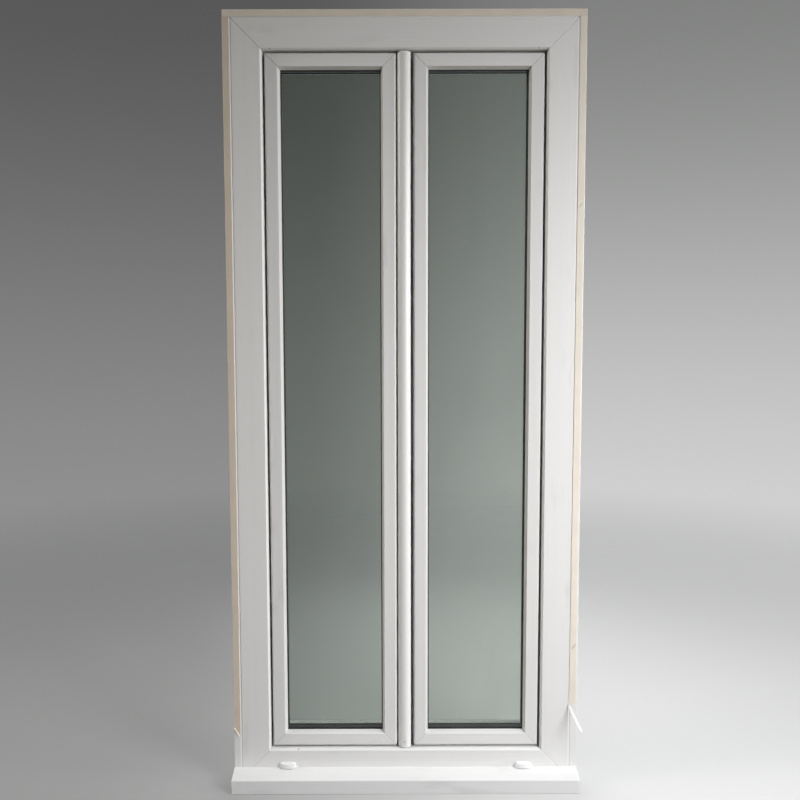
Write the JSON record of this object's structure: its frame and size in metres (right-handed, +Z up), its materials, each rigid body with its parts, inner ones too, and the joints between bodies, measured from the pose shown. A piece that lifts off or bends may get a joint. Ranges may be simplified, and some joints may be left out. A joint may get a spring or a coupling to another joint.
{
  "type": "two-leaf pvc casement window",
  "caption": "Tall white plastic window with two narrow double-glazed leaves in a welded mitred frame, a half-round cover strip between them, a projecting sill and drain caps.",
  "frame": {"origin": "centre of the outer frame's bottom face", "axes": "+X to the right seen from outside, +Y towards the room, +Z up"},
  "size_m": [0.7459, 0.1862, 1.608],
  "materials": {
    "frame_pvc": "white extruded PVC, satin, with fine extrusion lines and faint scuffs",
    "sash_pvc": "white extruded PVC, satin",
    "sill_pvc": "white extruded PVC, satin",
    "cap_plastic": "white moulded plastic",
    "glass": "clear float glass with a grey-green tone",
    "spacer_aluminium": "mill aluminium spacer bar",
    "black_rubber": "black extruded rubber",
    "paper_tape": "beige crepe paper tape, slightly soiled",
    "handle_metal": "white powder-coated metal",
    "hinge_metal": "white powder-coated metal"
  },
  "bodies": {
    "root": {"frame_head": "frame_pvc", "frame_left_jamb": "frame_pvc", "frame_right_jamb": "frame_pvc", "frame_bottom_rail": "frame_pvc", "left_sash_top_rail": "sash_pvc", "left_sash_bottom_rail": "sash_pvc", "left_sash_hinge_stile": "sash_pvc", "left_sash_meeting_stile": "sash_pvc", "right_sash_top_rail": "sash_pvc", "right_sash_bottom_rail": "sash_pvc", "right_sash_hinge_stile": "sash_pvc", "right_sash_meeting_stile": "sash_pvc", "left_bead_top": "sash_pvc", "left_bead_bottom": "sash_pvc", "left_bead_left": "sash_pvc", "left_bead_right": "sash_pvc", "right_bead_top": "sash_pvc", "right_bead_bottom": "sash_pvc", "right_bead_left": "sash_pvc", "right_bead_right": "sash_pvc", "astragal": "sash_pvc", "sill": "sill_pvc", "sill_left_end_cap": "cap_plastic", "sill_right_end_cap": "cap_plastic", "left_drain_cap": "cap_plastic", "right_drain_cap": "cap_plastic", "astragal_top_cap": "cap_plastic", "astragal_bottom_cap": "cap_plastic", "left_outer_pane": "glass", "left_inner_pane": "glass", "right_outer_pane": "glass", "right_inner_pane": "glass", "left_spacer_bar": "spacer_aluminium", "right_spacer_bar": "spacer_aluminium", "left_glazing_gaskets": "black_rubber", "right_glazing_gaskets": "black_rubber", "left_sash_seal": "black_rubber", "right_sash_seal": "black_rubber", "head_tape": "paper_tape", "left_tape": "paper_tape", "right_tape": "paper_tape", "handle_rose": "handle_metal", "handle_lever": "handle_metal", "left_hinges": "hinge_metal", "right_hinges": "hinge_metal"}
  },
  "joints": []
}
